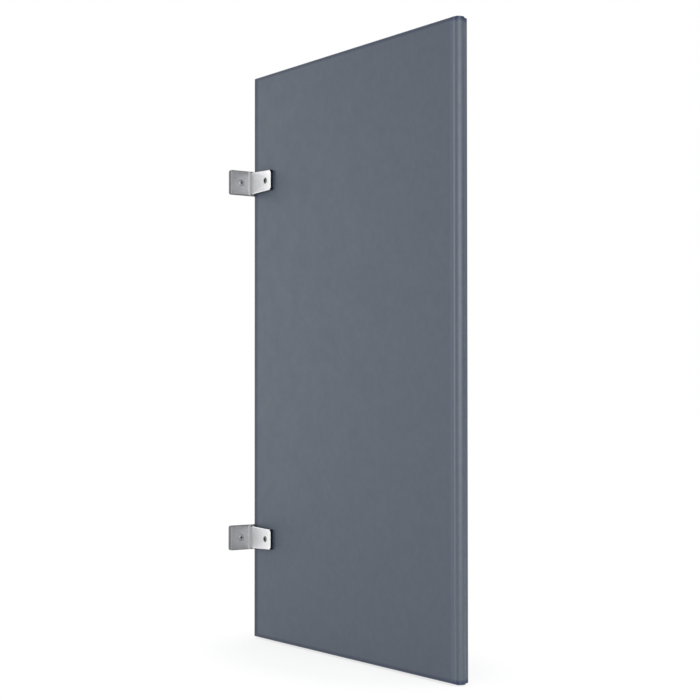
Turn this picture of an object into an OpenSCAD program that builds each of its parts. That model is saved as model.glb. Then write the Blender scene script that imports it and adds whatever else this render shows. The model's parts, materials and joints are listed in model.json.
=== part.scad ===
// Wall-hung privacy screen. A hollow steel panel, with two folded face sheets on a paper
// honeycomb, is closed by locking strips and carried by two U-shaped wall brackets.
// Millimetres. X runs out from the wall, Y across the panel and Z up. The origin lies on the
// wall plane, midway between the four wall fixings, and the front of the panel faces -Y.

/* [Panel] */
// Width of the panel over its two crowned edge strips
panel_w = 609.6; // [450:0.1:900]
// Height of the panel over its top and bottom caps
panel_h = 1066.8; // [900:0.1:1500]
// Finished thickness over both face sheets
panel_t = 31.75; // [29:0.05:38]
// Thickness of the face sheet steel
sheet_t = 0.9; // [0.7:0.05:1.2]
// Outside radius of the fold round each face sheet
fold_r = 4.5; // [3.5:0.1:5]
// Width of the return lip behind each fold
lip_w = 10; // [8:0.5:13]
// Opening between the lips of the two face sheets
throat_w = 14; // [12.5:0.1:14.4]

/* [Locking strips] */
// Thickness of the strip steel
strip_t = 1; // [0.8:0.05:1.2]
// Width of the crowns and of the flat caps
strip_w = 17.2; // [16:0.1:18]
// Height of the oval crown above the fold
crown_h = 4; // [3:0.1:5]
// Reach of each hook behind a lip
hook_w = 2; // [1.5:0.1:2.5]

/* [Core] */
// Width of a honeycomb cell across its flats
cell_w = 38; // [30:1:60]
// Thickness of a glued double paper wall
paper_t = 0.8; // [0.6:0.1:1.2]
// Distance from the fold to the edge of the core
core_inset = 16; // [15:0.5:22]

/* [Reinforcement] */
// Length of each steel channel inside the panel
channel_w = 70; // [60:1:74]
// Height of each steel channel
channel_h = 76; // [50:1:90]
// Thickness of the channel steel
channel_t = 1.9; // [1.5:0.1:2.5]
// Outside radius of the channel's bends
channel_r = 3.5; // [3:0.1:5]

/* [Brackets] */
// Distance from the panel's top to the middle of the upper bracket
upper_inset = 203; // [120:1:300]
// Distance from the panel's bottom to the middle of the lower bracket
lower_inset = 190; // [120:1:300]
// Thickness of the web between the wall and the panel's edge
web_t = 4; // [3:0.1:5]
// Thickness of the ears over their hollow backs
ear_t = 7; // [6:0.1:8]
// Length of each ear from the outside of its leg
ear_w = 44; // [38:0.5:60]
// Height of the ears
ear_h = 46.5; // [42:0.5:60]
// Corner radius of the ears
ear_r = 4; // [2:0.5:8]
// Wall thickness of the hollow casting in the ears
ear_wall = 2.8; // [2.2:0.1:3.2]
// Thickness of the ribs behind the ears
rib_t = 2; // [1.5:0.1:3]
// Reach of the legs from the wall plane
leg_w = 77.5; // [72:0.5:100]
// Thickness of the legs
leg_t = 6; // [4:0.1:7]
// Height of the legs where they leave the ears
leg_root_h = 41; // [38:0.5:41.5]
// Height of the legs at their tips
leg_tip_h = 37; // [28:0.5:38]
// Corner radius of the leg tips
leg_tip_r = 5; // [2:0.5:8]
// Radius of the fillet between ear and leg
root_r = 6; // [4:0.5:9]
// Width of the broken edges of the casting
edge_break = 1.2; // [0.6:0.1:1.6]
// Clearance between the legs and the face sheets
leg_gap = 0.3; // [0.2:0.05:0.5]
// Clearance between the web and the wall-side strip
web_gap = 0.8; // [0.4:0.1:0.9]

/* [Fasteners] */
// Distance from the wall plane to the through bolts
bolt_x = 59.5; // [57:0.5:66]
// Diameter of the through bolts
bolt_d = 6; // [5:0.1:6.4]
// Outside diameter of the barrel nuts
barrel_d = 8; // [7.6:0.1:9]
// Head diameter of the bolts and barrel nuts
bolt_head_d = 12; // [11:0.5:14]
// Head height of the bolts and barrel nuts
bolt_head_h = 2.4; // [2:0.1:3.2]
// Length of thread inside the barrel nuts
thread_l = 18; // [12:0.5:22]
// Distance from the leg's outside to the wall screw
screw_y = 20; // [17:0.5:26]
// Diameter of the wall screws
screw_d = 5.8; // [5:0.1:6.2]
// Diameter of their plain necks, in front of the wall plane
neck_d = 5.2; // [4:0.1:5.4]
// Head diameter of the wall screws
screw_head_d = 12; // [10:0.5:13]
// Reach of the wall screws behind the wall plane
screw_l = 30; // [20:0.5:40]
// Diametral clearance of a loose hole
hole_gap = 0.4; // [0.2:0.1:0.8]
// Radial clearance of a screw in its thread
thread_gap = 0.06; // [0.03:0.01:0.1]

/* [Hidden] */

$fn = 64;
eps = 0.01;
coat = "#666d77";      // blue-grey powder coat
chrome = "#c9cbcd";    // polished casting
zinc = "#aeb2b5";      // plated fasteners
bare_steel = "#8e9296";
kraft = "#b58d5e";

// Heights. The brackets sit at +-span / 2.
span = panel_h - upper_inset - lower_inset;
bottom_z = -span / 2 - lower_inset;
top_z = bottom_z + panel_h;

// The strips stand on the outside of the folds.
strip_gap = 0.1;
cap_h = strip_gap + strip_t;
fold_h = panel_h - 2 * cap_h;
fold_bottom = bottom_z + cap_h;
fold_top = top_z - cap_h;
wall_fold = web_t + web_gap + crown_h;
outer_fold = web_t + web_gap + panel_w - crown_h;
fold_w = outer_fold - wall_fold;
mid_x = (wall_fold + outer_fold) / 2;
mid_z = (fold_bottom + fold_top) / 2;

half_t = panel_t / 2;
inner_half = half_t - sheet_t;
lip_y = throat_w / 2;
hook_gap = 0.2;
hook_x = lip_w + hook_gap + strip_t;
// Legs of the strips stop short of the ones round the corner.
corner_gap = 1.5;
leg_cut = hook_x + corner_gap;
crown_rise = crown_h - strip_gap;
crown_r = (pow(strip_w / 2, 2) + pow(crown_rise, 2)) / (2 * crown_rise);
pocket_gap = 1; // round the channels, in the core

slot_half = half_t + leg_gap;
leg_out = slot_half + leg_t;
ear_end = leg_out + ear_w;
wall_screw_y = leg_out + screw_y;
boss_rim = 1;
boss_r = screw_head_d / 2 + boss_rim;
barrel_hole_d = barrel_d + hole_gap;

// Drive recesses and the countersunk heads of the wall screws.
recess_h = 1.6;
recess_r = 2.1;
lobe_r = 0.9;
cross_w = 1.5;
cross_l = 6;
oval_h = 1;
sink_angle = 41;
sink_h = (screw_head_d - neck_d) / 2 / tan(sink_angle);

// ---------- helpers ----------

// What rounding a corner at the origin takes off, for a corner that points to +x +y.
module corner_waste(r) {
    difference() {
        translate([-r, -r]) square(r + eps);
        translate([-r, -r]) circle(r);
    }
}

module rounded_rect(w, h, r) {
    difference() {
        square([w, h], center = true);
        for (sx = [0, 1], sy = [0, 1])
            mirror([sx, 0]) mirror([0, sy]) translate([w / 2, h / 2]) corner_waste(r);
    }
}

// Lays an (x, z) outline in the panel's plane and pulls it from y0 to y1.
module across(y0, y1) {
    translate([0, y1, 0]) rotate([90, 0, 0]) linear_extrude(y1 - y0) children();
}

// Pulls a (height, y) section along X from x0 to x1, with the section's x up.
module along(x0, x1) {
    translate([x1, 0, 0]) rotate([0, -90, 0]) linear_extrude(x1 - x0) children();
}

// ---------- face sheets ----------

// Half section of a pan with one rounded corner on each side: x across it, y the thickness.
module pan_section(w, top, r) {
    difference() {
        translate([-w / 2, lip_y]) square([w, top - lip_y]);
        for (s = [0, 1])
            mirror([s, 0]) translate([w / 2, top]) corner_waste(r);
    }
}

// A slab whose four front edges are rounded and meet in mitres.
module pan_slab(w, h, top, r) {
    intersection() {
        translate([mid_x, 0, mid_z - h / 2]) linear_extrude(h) pan_section(w, top, r);
        translate([0, 0, mid_z]) along(mid_x - w / 2, mid_x + w / 2) pan_section(h, top, r);
    }
}

module lip_ring(grow) {
    translate([mid_x, mid_z])
        square([fold_w - 2 * lip_w + grow, fold_h - 2 * lip_w + grow], center = true);
}

// One folded face sheet, made on the +Y side.
module face_sheet() {
    difference() {
        pan_slab(fold_w, fold_h, half_t, fold_r);
        difference() {
            translate([0, -eps, 0])
                pan_slab(fold_w - 2 * sheet_t, fold_h - 2 * sheet_t, inner_half + eps,
                    fold_r - sheet_t);
            // the return lip stays
            across(0, lip_y + sheet_t) difference() {
                lip_ring(2 * lip_w);
                lip_ring(0);
            }
        }
        across(0, lip_y + sheet_t + eps) lip_ring(0);
        for (z = [-span / 2, span / 2])
            translate([bolt_x, 0, z]) rotate([-90, 0, 0]) cylinder(h = panel_t, d = barrel_hole_d);
    }
}

module front_sheet() { color(coat) mirror([0, 1, 0]) face_sheet(); }
module rear_sheet() { color(coat) face_sheet(); }

// ---------- locking strips ----------

// Section with x outwards from the fold and y across the panel.
module strip_hooks() {
    leg_y = lip_y - strip_gap;
    for (s = [0, 1]) mirror([0, s]) {
        translate([-hook_x, leg_y - strip_t]) square([hook_x + cap_h, strip_t]);
        translate([-hook_x, leg_y - strip_t]) square([strip_t, hook_w + strip_t]);
    }
}

module crown_outline(r) {
    intersection() {
        translate([crown_h - crown_r, 0]) circle(r, $fn = 128);
        translate([strip_gap, -strip_w]) square([2 * crown_h, 2 * strip_w]);
    }
}

module crowned_strip() {
    translate([0, 0, bottom_z]) {
        // rolled crown with its ends welded shut
        difference() {
            linear_extrude(panel_h) crown_outline(crown_r);
            translate([0, 0, strip_t]) linear_extrude(panel_h - 2 * strip_t) difference() {
                crown_outline(crown_r - strip_t);
                // feet that rest on the folds
                for (s = [0, 1]) mirror([0, s])
                    translate([0, lip_y - strip_gap - strip_t]) square([cap_h, strip_w]);
            }
        }
        translate([0, 0, cap_h + leg_cut]) linear_extrude(fold_h - 2 * leg_cut) strip_hooks();
    }
}

module cap_section() {
    translate([strip_gap, -strip_w / 2]) square([strip_t, strip_w]);
}

// A flat cap that butts between the two crowned strips.
module cap_strip() {
    along(wall_fold + strip_gap, outer_fold - strip_gap) cap_section();
    along(wall_fold + leg_cut, outer_fold - leg_cut) strip_hooks();
}

module outer_strip() { color(coat) translate([outer_fold, 0, 0]) crowned_strip(); }
module wall_strip() {
    color(coat) translate([wall_fold, 0, 0]) mirror([1, 0, 0]) crowned_strip();
}
module top_cap() { color(coat) translate([0, 0, fold_top]) cap_strip(); }
module bottom_cap() { color(coat) translate([0, 0, fold_bottom]) mirror([0, 0, 1]) cap_strip(); }

// ---------- inside the panel ----------

module core_outline(shrink) {
    difference() {
        translate([mid_x, mid_z])
            square([fold_w - 2 * core_inset - shrink, fold_h - 2 * core_inset - shrink],
                center = true);
        for (z = [-span / 2, span / 2])
            translate([bolt_x, z])
                square([channel_w + 2 * pocket_gap + shrink, channel_h + 2 * pocket_gap + shrink],
                    center = true);
    }
}

// Rows of hexagonal cells in a brick pattern that covers the panel.
module cells() {
    pitch = cell_w + paper_t;
    row_h = pitch * sqrt(3) / 2;
    cols = ceil(fold_w / pitch / 2) + 1;
    rows = ceil(fold_h / row_h / 2) + 1;
    for (j = [-rows:rows], i = [-cols:cols])
        translate([mid_x + (i + (j % 2 == 0 ? 0 : 0.5)) * pitch, mid_z + j * row_h])
            rotate(30) circle(r = cell_w / sqrt(3), $fn = 6);
}

module honeycomb_core() {
    color(kraft) across(-inner_half, inner_half) difference() {
        core_outline(0);
        intersection() {
            core_outline(2 * paper_t);
            cells();
        }
    }
}

// Bent channel whose flanges back the two face sheets at the through bolt.
module reinforcement() {
    color(bare_steel) difference() {
        translate([bolt_x - channel_w / 2, 0, -channel_h / 2]) linear_extrude(channel_h)
            difference() {
                channel_outline(channel_w, inner_half, channel_r);
                translate([channel_t, 0])
                    channel_outline(channel_w, inner_half - channel_t, channel_r - channel_t);
            }
        translate([bolt_x, -half_t, 0]) rotate([-90, 0, 0])
            cylinder(h = panel_t, d = barrel_hole_d);
    }
}

module channel_outline(w, half, r) {
    difference() {
        translate([0, -half]) square([w, 2 * half]);
        for (s = [0, 1]) mirror([0, s]) translate([0, half]) mirror([1, 0]) corner_waste(r);
    }
}

module upper_reinforcement() { translate([0, 0, span / 2]) reinforcement(); }
module lower_reinforcement() { translate([0, 0, -span / 2]) reinforcement(); }

// ---------- brackets ----------

// Plan of the casting: web, ears, legs and the fillets between them.
module bracket_plan() {
    difference() {
        union() {
            translate([0, -ear_end]) square([ear_t, 2 * ear_end]);
            translate([0, -leg_out]) square([leg_w, 2 * leg_out]);
            for (s = [0, 1]) mirror([0, s]) translate([ear_t, leg_out]) difference() {
                square(root_r);
                translate([root_r, root_r]) circle(root_r);
            }
        }
        translate([web_t, -slot_half]) square([leg_w, 2 * slot_half]);
        for (s = [0, 1]) mirror([0, s]) {
            translate([ear_t, ear_end]) corner_waste(2 * edge_break);
            translate([leg_w, leg_out]) corner_waste(edge_break);
            translate([leg_w, slot_half]) mirror([0, 1]) corner_waste(edge_break);
        }
    }
}

// Side view of the legs: from the ear's height they taper to the tips.
module leg_side() {
    difference() {
        polygon([
            [0, -ear_h / 2], [ear_t, -ear_h / 2], [ear_t + root_r, -leg_root_h / 2],
            [leg_w, -leg_tip_h / 2], [leg_w, leg_tip_h / 2],
            [ear_t + root_r, leg_root_h / 2], [ear_t, ear_h / 2], [0, ear_h / 2]
        ]);
        for (s = [0, 1])
            mirror([0, s]) translate([leg_w, leg_tip_h / 2]) corner_waste(leg_tip_r);
    }
}

// Broken edges along the outside of the legs and the front of the ears.
module edge_cuts() {
    taper = atan((leg_root_h - leg_tip_h) / 2 / (leg_w - ear_t - root_r));
    side = edge_break * sqrt(2);
    for (sy = [0, 1], sz = [0, 1]) mirror([0, sy, 0]) mirror([0, 0, sz]) {
        translate([ear_t + root_r, leg_out, leg_root_h / 2]) rotate([0, taper, 0])
            rotate([45, 0, 0]) translate([-root_r, -side / 2, -side / 2])
                cube([leg_w, side, side]);
        translate([ear_t, leg_out + root_r / 2, ear_h / 2]) rotate([0, 45, 0])
            translate([-side / 2, 0, -side / 2]) cube([side, ear_w, side]);
    }
}

// Cored pockets behind one ear, with a screw boss and two ribs left standing.
module ear_pockets() {
    along(-eps, ear_t - ear_wall) difference() {
        translate([0, leg_out + (ear_w - ear_wall) / 2])
            rounded_rect(ear_h - 2 * ear_wall, ear_w - ear_wall, ear_r - edge_break);
        translate([0, wall_screw_y]) circle(boss_r);
        translate([-ear_h / 2, wall_screw_y - rib_t / 2]) square([ear_h, rib_t]);
        translate([-rib_t / 2, leg_out - eps]) square([rib_t, ear_w]);
    }
}

module bracket() {
    color(chrome) difference() {
        intersection() {
            translate([0, 0, -ear_h / 2]) linear_extrude(ear_h) bracket_plan();
            union() {
                along(0, ear_t) rounded_rect(ear_h, 2 * ear_end, ear_r);
                across(-leg_out - root_r, leg_out + root_r) leg_side();
            }
        }
        edge_cuts();
        for (s = [0, 1]) mirror([0, s, 0]) {
            ear_pockets();
            translate([-eps, wall_screw_y, 0]) rotate([0, 90, 0])
                cylinder(h = ear_t + 1, d = screw_d + hole_gap);
            // countersink
            translate([ear_t - sink_h, wall_screw_y, 0]) rotate([0, 90, 0])
                cylinder(h = sink_h + eps, d1 = neck_d + hole_gap, d2 = screw_head_d + hole_gap);
        }
        translate([bolt_x, 0, 0]) rotate([90, 0, 0])
            cylinder(h = 2 * leg_out, d = bolt_d + hole_gap);
        translate([bolt_x, 0, 0]) rotate([-90, 0, 0])
            cylinder(h = 2 * leg_out, d = barrel_hole_d);
    }
}

module upper_bracket() { translate([0, 0, span / 2]) bracket(); }
module lower_bracket() { translate([0, 0, -span / 2]) bracket(); }

// ---------- fasteners ----------

// Low domed head that stands on z = 0, with a six-lobed recess.
module domed_head() {
    dome_r = (pow(bolt_head_d / 2, 2) + pow(bolt_head_h, 2)) / (2 * bolt_head_h);
    difference() {
        intersection() {
            cylinder(h = bolt_head_h, d = bolt_head_d);
            translate([0, 0, bolt_head_h - dome_r]) sphere(dome_r, $fn = 96);
        }
        translate([0, 0, bolt_head_h - recess_h]) linear_extrude(recess_h + 1) {
            circle(recess_r);
            for (a = [0:60:300]) rotate(a) translate([recess_r, 0]) circle(lobe_r);
        }
    }
}

// Front half of the through fixing.
module bolt() {
    color(zinc) translate([bolt_x, -leg_out, 0]) rotate([90, 0, 0]) {
        domed_head();
        translate([0, 0, -leg_t - thread_l]) cylinder(h = leg_t + thread_l, d = bolt_d);
    }
}

// Rear half: a sleeve that reaches through the panel to the front sheet.
module barrel_nut() {
    color(zinc) translate([bolt_x, leg_out, 0]) rotate([-90, 0, 0]) {
        domed_head();
        difference() {
            translate([0, 0, -leg_out - half_t]) cylinder(h = leg_out + half_t, d = barrel_d);
            translate([0, 0, -leg_out - half_t - eps])
                cylinder(h = thread_l + 1, d = bolt_d + 2 * thread_gap);
        }
    }
}

module upper_bolt() { translate([0, 0, span / 2]) bolt(); }
module lower_bolt() { translate([0, 0, -span / 2]) bolt(); }
module upper_barrel_nut() { translate([0, 0, span / 2]) barrel_nut(); }
module lower_barrel_nut() { translate([0, 0, -span / 2]) barrel_nut(); }

// Countersunk wall screw with a raised oval head, pointing to -z from its rim at z = 0.
module wall_screw() {
    oval_r = (pow(screw_head_d / 2, 2) + pow(oval_h, 2)) / (2 * oval_h);
    tip_h = screw_d;
    difference() {
        union() {
            intersection() {
                cylinder(h = oval_h, d = screw_head_d);
                translate([0, 0, oval_h - oval_r]) sphere(oval_r, $fn = 96);
            }
            translate([0, 0, -sink_h]) cylinder(h = sink_h, d1 = neck_d, d2 = screw_head_d);
            translate([0, 0, -ear_t]) cylinder(h = ear_t, d = neck_d);
            translate([0, 0, -ear_t - screw_l + tip_h])
                cylinder(h = screw_l - tip_h, d = screw_d);
            translate([0, 0, -ear_t - screw_l]) cylinder(h = tip_h, d1 = screw_d / 4, d2 = screw_d);
        }
        for (a = [0, 90]) rotate(a) translate([-cross_l / 2, -cross_w / 2, oval_h - recess_h])
            cube([cross_l, cross_w, recess_h + 1]);
    }
}

module wall_screws() {
    color(zinc) for (s = [-1, 1])
        translate([ear_t, s * wall_screw_y, 0]) rotate([0, 90, 0]) wall_screw();
}

module upper_wall_screws() { translate([0, 0, span / 2]) wall_screws(); }
module lower_wall_screws() { translate([0, 0, -span / 2]) wall_screws(); }

front_sheet();
rear_sheet();
honeycomb_core();
outer_strip();
wall_strip();
top_cap();
bottom_cap();
upper_reinforcement();
lower_reinforcement();
upper_bracket();
lower_bracket();
upper_bolt();
lower_bolt();
upper_barrel_nut();
lower_barrel_nut();
upper_wall_screws();
lower_wall_screws();
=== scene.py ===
"""Dresses a wall-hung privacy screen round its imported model.

A folded steel panel, closed by roll-formed locking strips, hangs on two cast wall brackets.
Lengths are in metres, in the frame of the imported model: X out from the wall, Z up, and the
front of the panel towards -Y.
"""

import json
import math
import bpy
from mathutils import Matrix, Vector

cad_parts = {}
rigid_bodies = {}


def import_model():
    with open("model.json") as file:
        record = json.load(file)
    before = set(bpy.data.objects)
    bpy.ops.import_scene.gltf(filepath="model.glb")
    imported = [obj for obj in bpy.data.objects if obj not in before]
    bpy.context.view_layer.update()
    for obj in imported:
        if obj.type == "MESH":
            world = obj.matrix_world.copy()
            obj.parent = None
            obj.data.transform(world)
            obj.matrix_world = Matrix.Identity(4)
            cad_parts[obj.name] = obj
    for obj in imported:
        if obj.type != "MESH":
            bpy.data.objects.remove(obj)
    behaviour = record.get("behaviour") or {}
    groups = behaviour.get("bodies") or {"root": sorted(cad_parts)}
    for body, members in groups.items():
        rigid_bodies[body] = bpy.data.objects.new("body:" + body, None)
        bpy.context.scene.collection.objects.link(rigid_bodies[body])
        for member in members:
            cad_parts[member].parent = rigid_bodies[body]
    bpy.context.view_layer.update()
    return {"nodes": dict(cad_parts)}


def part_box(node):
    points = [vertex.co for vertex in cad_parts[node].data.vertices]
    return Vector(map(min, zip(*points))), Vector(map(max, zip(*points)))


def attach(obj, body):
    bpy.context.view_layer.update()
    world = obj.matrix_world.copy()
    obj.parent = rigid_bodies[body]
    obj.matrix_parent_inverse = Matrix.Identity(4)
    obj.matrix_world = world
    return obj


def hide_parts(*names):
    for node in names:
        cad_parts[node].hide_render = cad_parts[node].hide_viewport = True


bl_info = {
    "name": "Privacy Screen",
    "version": (1, 0, 0),
    "blender": (4, 5, 0),
    "location": "View3D > Sidebar > Screen",
    "description": "Builds the panel, strips, brackets and fixings of a wall-hung privacy screen",
    "category": "Object",
}

import bmesh
import bpy
from mathutils import Euler, Vector, geometry

# The objects of Blender's start-up file are no part of the screen.
for leftover in list(bpy.data.objects):
    bpy.data.objects.remove(leftover)
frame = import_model()

BODY = "root"
MM = 0.001
WHITE = (1.0, 1.0, 1.0, 1.0)
QUARTER = math.pi / 2
LEVELS = ("upper", "lower")

MERGE = 0.001 * MM  # corners closer than this are one
PACKED_MERGE = 0.002 * MM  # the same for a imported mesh, whose corners are rounded
PLACES = 7  # decimals kept of a sheet's corners
INSIDE_BUT_HOLES = 2  # triangulates a face's inside and leaves its holes out

HOLE_SIDES = 32  # faces round a hole in a sheet
CROWN_STEPS = (36, 28)  # faces over the outside and the inside of a crown
BOLT_SIDES = 72  # faces round a through bolt
SCREW_SIDES = 96  # faces round a wall screw
DOME_STEPS = 8  # faces from a domed head's rim to its recess
OVAL_STEPS = 6  # faces from a wall screw's rim to its recess
STRIP_CREASE = 32  # degrees, past which an edge of a strip stays sharp
CAST_CREASE = 30  # the same for a casting
FIXING_CREASE = 40  # the same for a fixing
CAST_FLAT = 0.5  # degrees, under which two faces of a casting become one
CAST_EDGE = 35  # degrees, past which an edge of a casting is rounded
CAST_STEPS = 3  # faces across a rounded edge of a casting

NOISE_MIDDLE = (0.3, 0.7)  # between these lies nearly all of a noise


# ---------- colour and node helpers ----------


def linear(hex_colour):
    """A linear RGBA colour from an sRGB hex value."""
    channels = [int(hex_colour[i : i + 2], 16) / 255 for i in (1, 3, 5)]
    return tuple(
        c / 12.92 if c <= 0.04045 else ((c + 0.055) / 1.055) ** 2.4 for c in channels
    ) + (1.0,)


def shaded(tone, factor):
    """A colour times one factor, or times one for each channel."""
    factors = factor if isinstance(factor, tuple) else (factor,) * 3
    return tuple(min(1.0, c * k) for c, k in zip(tone, factors)) + (1.0,)


def add(tree, kind, inputs=(), out=0, **settings):
    """Adds a node with its settings, and sets or links its inputs, in order or by name. A list
    links each of its items to one input. Sockets that the settings leave unused don't count.
    Returns the output that out places or names, or the node where out is None."""
    node = tree.nodes.new(kind)
    for name, value in settings.items():
        setattr(node, name, value)
    if isinstance(inputs, dict):
        given = [(node.inputs[name], value) for name, value in inputs.items()]
    else:
        given = zip([socket for socket in node.inputs if socket.enabled], inputs)
    for socket, value in given:
        for source in value if isinstance(value, list) else [value]:
            if isinstance(source, bpy.types.NodeSocket):
                tree.links.new(source, socket)
            else:
                socket.default_value = source
    if out is None:
        return node
    if isinstance(out, str):
        return node.outputs[out]
    return [socket for socket in node.outputs if socket.enabled][out]


def new_nodes(blocks, name):
    """A new material or world, and its emptied node tree."""
    block = blocks.new(name)
    block.use_nodes = True
    block.node_tree.nodes.clear()
    return block, block.node_tree


def patches(tree, size, detail, span=None, seed=0.0, stretch=(1, 1, 1), middle=NOISE_MIDDLE):
    """Noise on Object coordinates, in patches of about size metres. Where a span is given, the
    middle of the noise is spread over it."""
    place = add(tree, "ShaderNodeTexCoord", out="Object")
    moved = add(
        tree,
        "ShaderNodeMapping",
        {"Vector": place, "Location": (seed, seed, seed), "Scale": stretch},
    )
    noise = add(
        tree, "ShaderNodeTexNoise", {"Vector": moved, "Scale": 1 / size, "Detail": detail}
    )
    if span is None:
        return noise
    return add(tree, "ShaderNodeMapRange", (noise, *middle, *span))


def surfaced(tree, inputs, *bumps):
    """Ends a material in a principled shader over its bumps, the broadest first. A bump is a
    pattern of heights, its depth in metres and its strength."""
    under = {}
    for height, depth, strength in bumps:
        relief = {"Height": height, "Distance": depth, "Strength": strength, **under}
        under = {"Normal": add(tree, "ShaderNodeBump", relief)}
    shader = add(tree, "ShaderNodeBsdfPrincipled", {**inputs, **under})
    add(tree, "ShaderNodeOutputMaterial", (shader,), out=None)


# ---------- mesh helpers ----------


def new_object(name, data):
    """An object in the scene that holds a mesh, a lamp or a camera."""
    obj = bpy.data.objects.new(name, data)
    bpy.context.scene.collection.objects.link(obj)
    return obj


def finish_piece(obj, material, node):
    """Gives a finished piece its material and its body, and hides the node that it stands for."""
    obj.data.materials.clear()
    obj.data.materials.append(material)
    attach(obj, BODY)
    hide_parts(node)


def smooth_by_angle(mesh, degrees):
    """Smooths every face and keeps the edges sharper than that angle."""
    for face in mesh.polygons:
        face.use_smooth = True
    mesh.set_sharp_from_angle(angle=math.radians(degrees))


def outward(mesh):
    """Merges doubles and turns all faces outwards."""
    bm = bmesh.new()
    bm.from_mesh(mesh)
    bmesh.ops.remove_doubles(bm, verts=bm.verts, dist=MERGE)
    bmesh.ops.recalc_face_normals(bm, faces=bm.faces)
    bm.to_mesh(mesh)
    bm.free()


def mesh_from(bm, name):
    """A mesh that takes over what a bmesh holds."""
    mesh = bpy.data.meshes.new(name)
    bm.to_mesh(mesh)
    bm.free()
    return mesh


def joined(name, objects):
    """One object from several, all at the origin."""
    bm = bmesh.new()
    for obj in objects:
        bm.from_mesh(obj.data)
        bpy.data.objects.remove(obj)
    return new_object(name, mesh_from(bm, name))


def baked(obj):
    """Turns an object with modifiers into a plain mesh."""
    deps = bpy.context.evaluated_depsgraph_get()
    mesh = bpy.data.meshes.new_from_object(obj.evaluated_get(deps), depsgraph=deps)
    obj.modifiers.clear()
    obj.data = mesh
    return obj


def flat_mesh(name, corners):
    """A mesh of one face."""
    mesh = bpy.data.meshes.new(name)
    mesh.from_pydata(corners, [], [tuple(range(len(corners)))])
    return mesh


def neighbours(loop):
    """Each item of a closed loop with the one after it."""
    return zip(loop, loop[1:] + loop[:1])


# ---------- Geometry Nodes helpers ----------


def new_tree(name, sockets):
    """A geometry tree with one geometry in, one out, and the named inputs between."""
    tree = bpy.data.node_groups.new(name, "GeometryNodeTree")
    tree.interface.new_socket("Geometry", in_out="INPUT", socket_type="NodeSocketGeometry")
    for label, kind, default in sockets:
        socket = tree.interface.new_socket(label, in_out="INPUT", socket_type=kind)
        if default is not None:
            socket.default_value = default
    tree.interface.new_socket("Geometry", in_out="OUTPUT", socket_type="NodeSocketGeometry")
    start = add(tree, "NodeGroupInput", out=None)
    return tree, {socket.name: socket for socket in start.outputs}


def end_tree(tree, shape, material):
    """Closes a tree with Realize Instances and Set Material."""
    real = add(tree, "GeometryNodeRealizeInstances", (shape,))
    painted = add(tree, "GeometryNodeSetMaterial", {"Geometry": real, "Material": material})
    add(tree, "NodeGroupOutput", (painted,), out=None)
    return tree


def grown(name, base, tree, values):
    """Runs a tree on a base mesh and returns the result as an object with a plain mesh."""
    obj = new_object(name, base)
    modifier = obj.modifiers.new("shape", "NODES")
    modifier.node_group = tree
    sockets = {i.name: i.identifier for i in tree.interface.items_tree if i.in_out == "INPUT"}
    for label, value in values.items():
        modifier[sockets[label]] = value
    baked(obj)
    outward(obj.data)
    return obj


# ---------- settings ----------


def length(name, description, default):
    """A length in metres, shown in the scene's unit."""
    return bpy.props.FloatProperty(
        name=name, description=description, default=default, min=0.0, max=1.0, unit="LENGTH",
        precision=5,
    )


def lengths(name, description, first, second):
    """Two lengths in metres that belong together."""
    return bpy.props.FloatVectorProperty(
        name=name, description=description, default=(first, second), size=2, min=0.0, max=1.0,
        unit="LENGTH", precision=5,
    )


def colour(name, description, hex_colour):
    """A colour, given as sRGB hex and held as linear RGBA."""
    return bpy.props.FloatVectorProperty(
        name=name, description=description, default=linear(hex_colour), subtype="COLOR", size=4,
        min=0.0, max=1.0,
    )


def amount(name, description, default, high=1.0):
    """A plain number from 0 up."""
    return bpy.props.FloatProperty(
        name=name, description=description, default=default, min=0.0, max=high
    )


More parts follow.
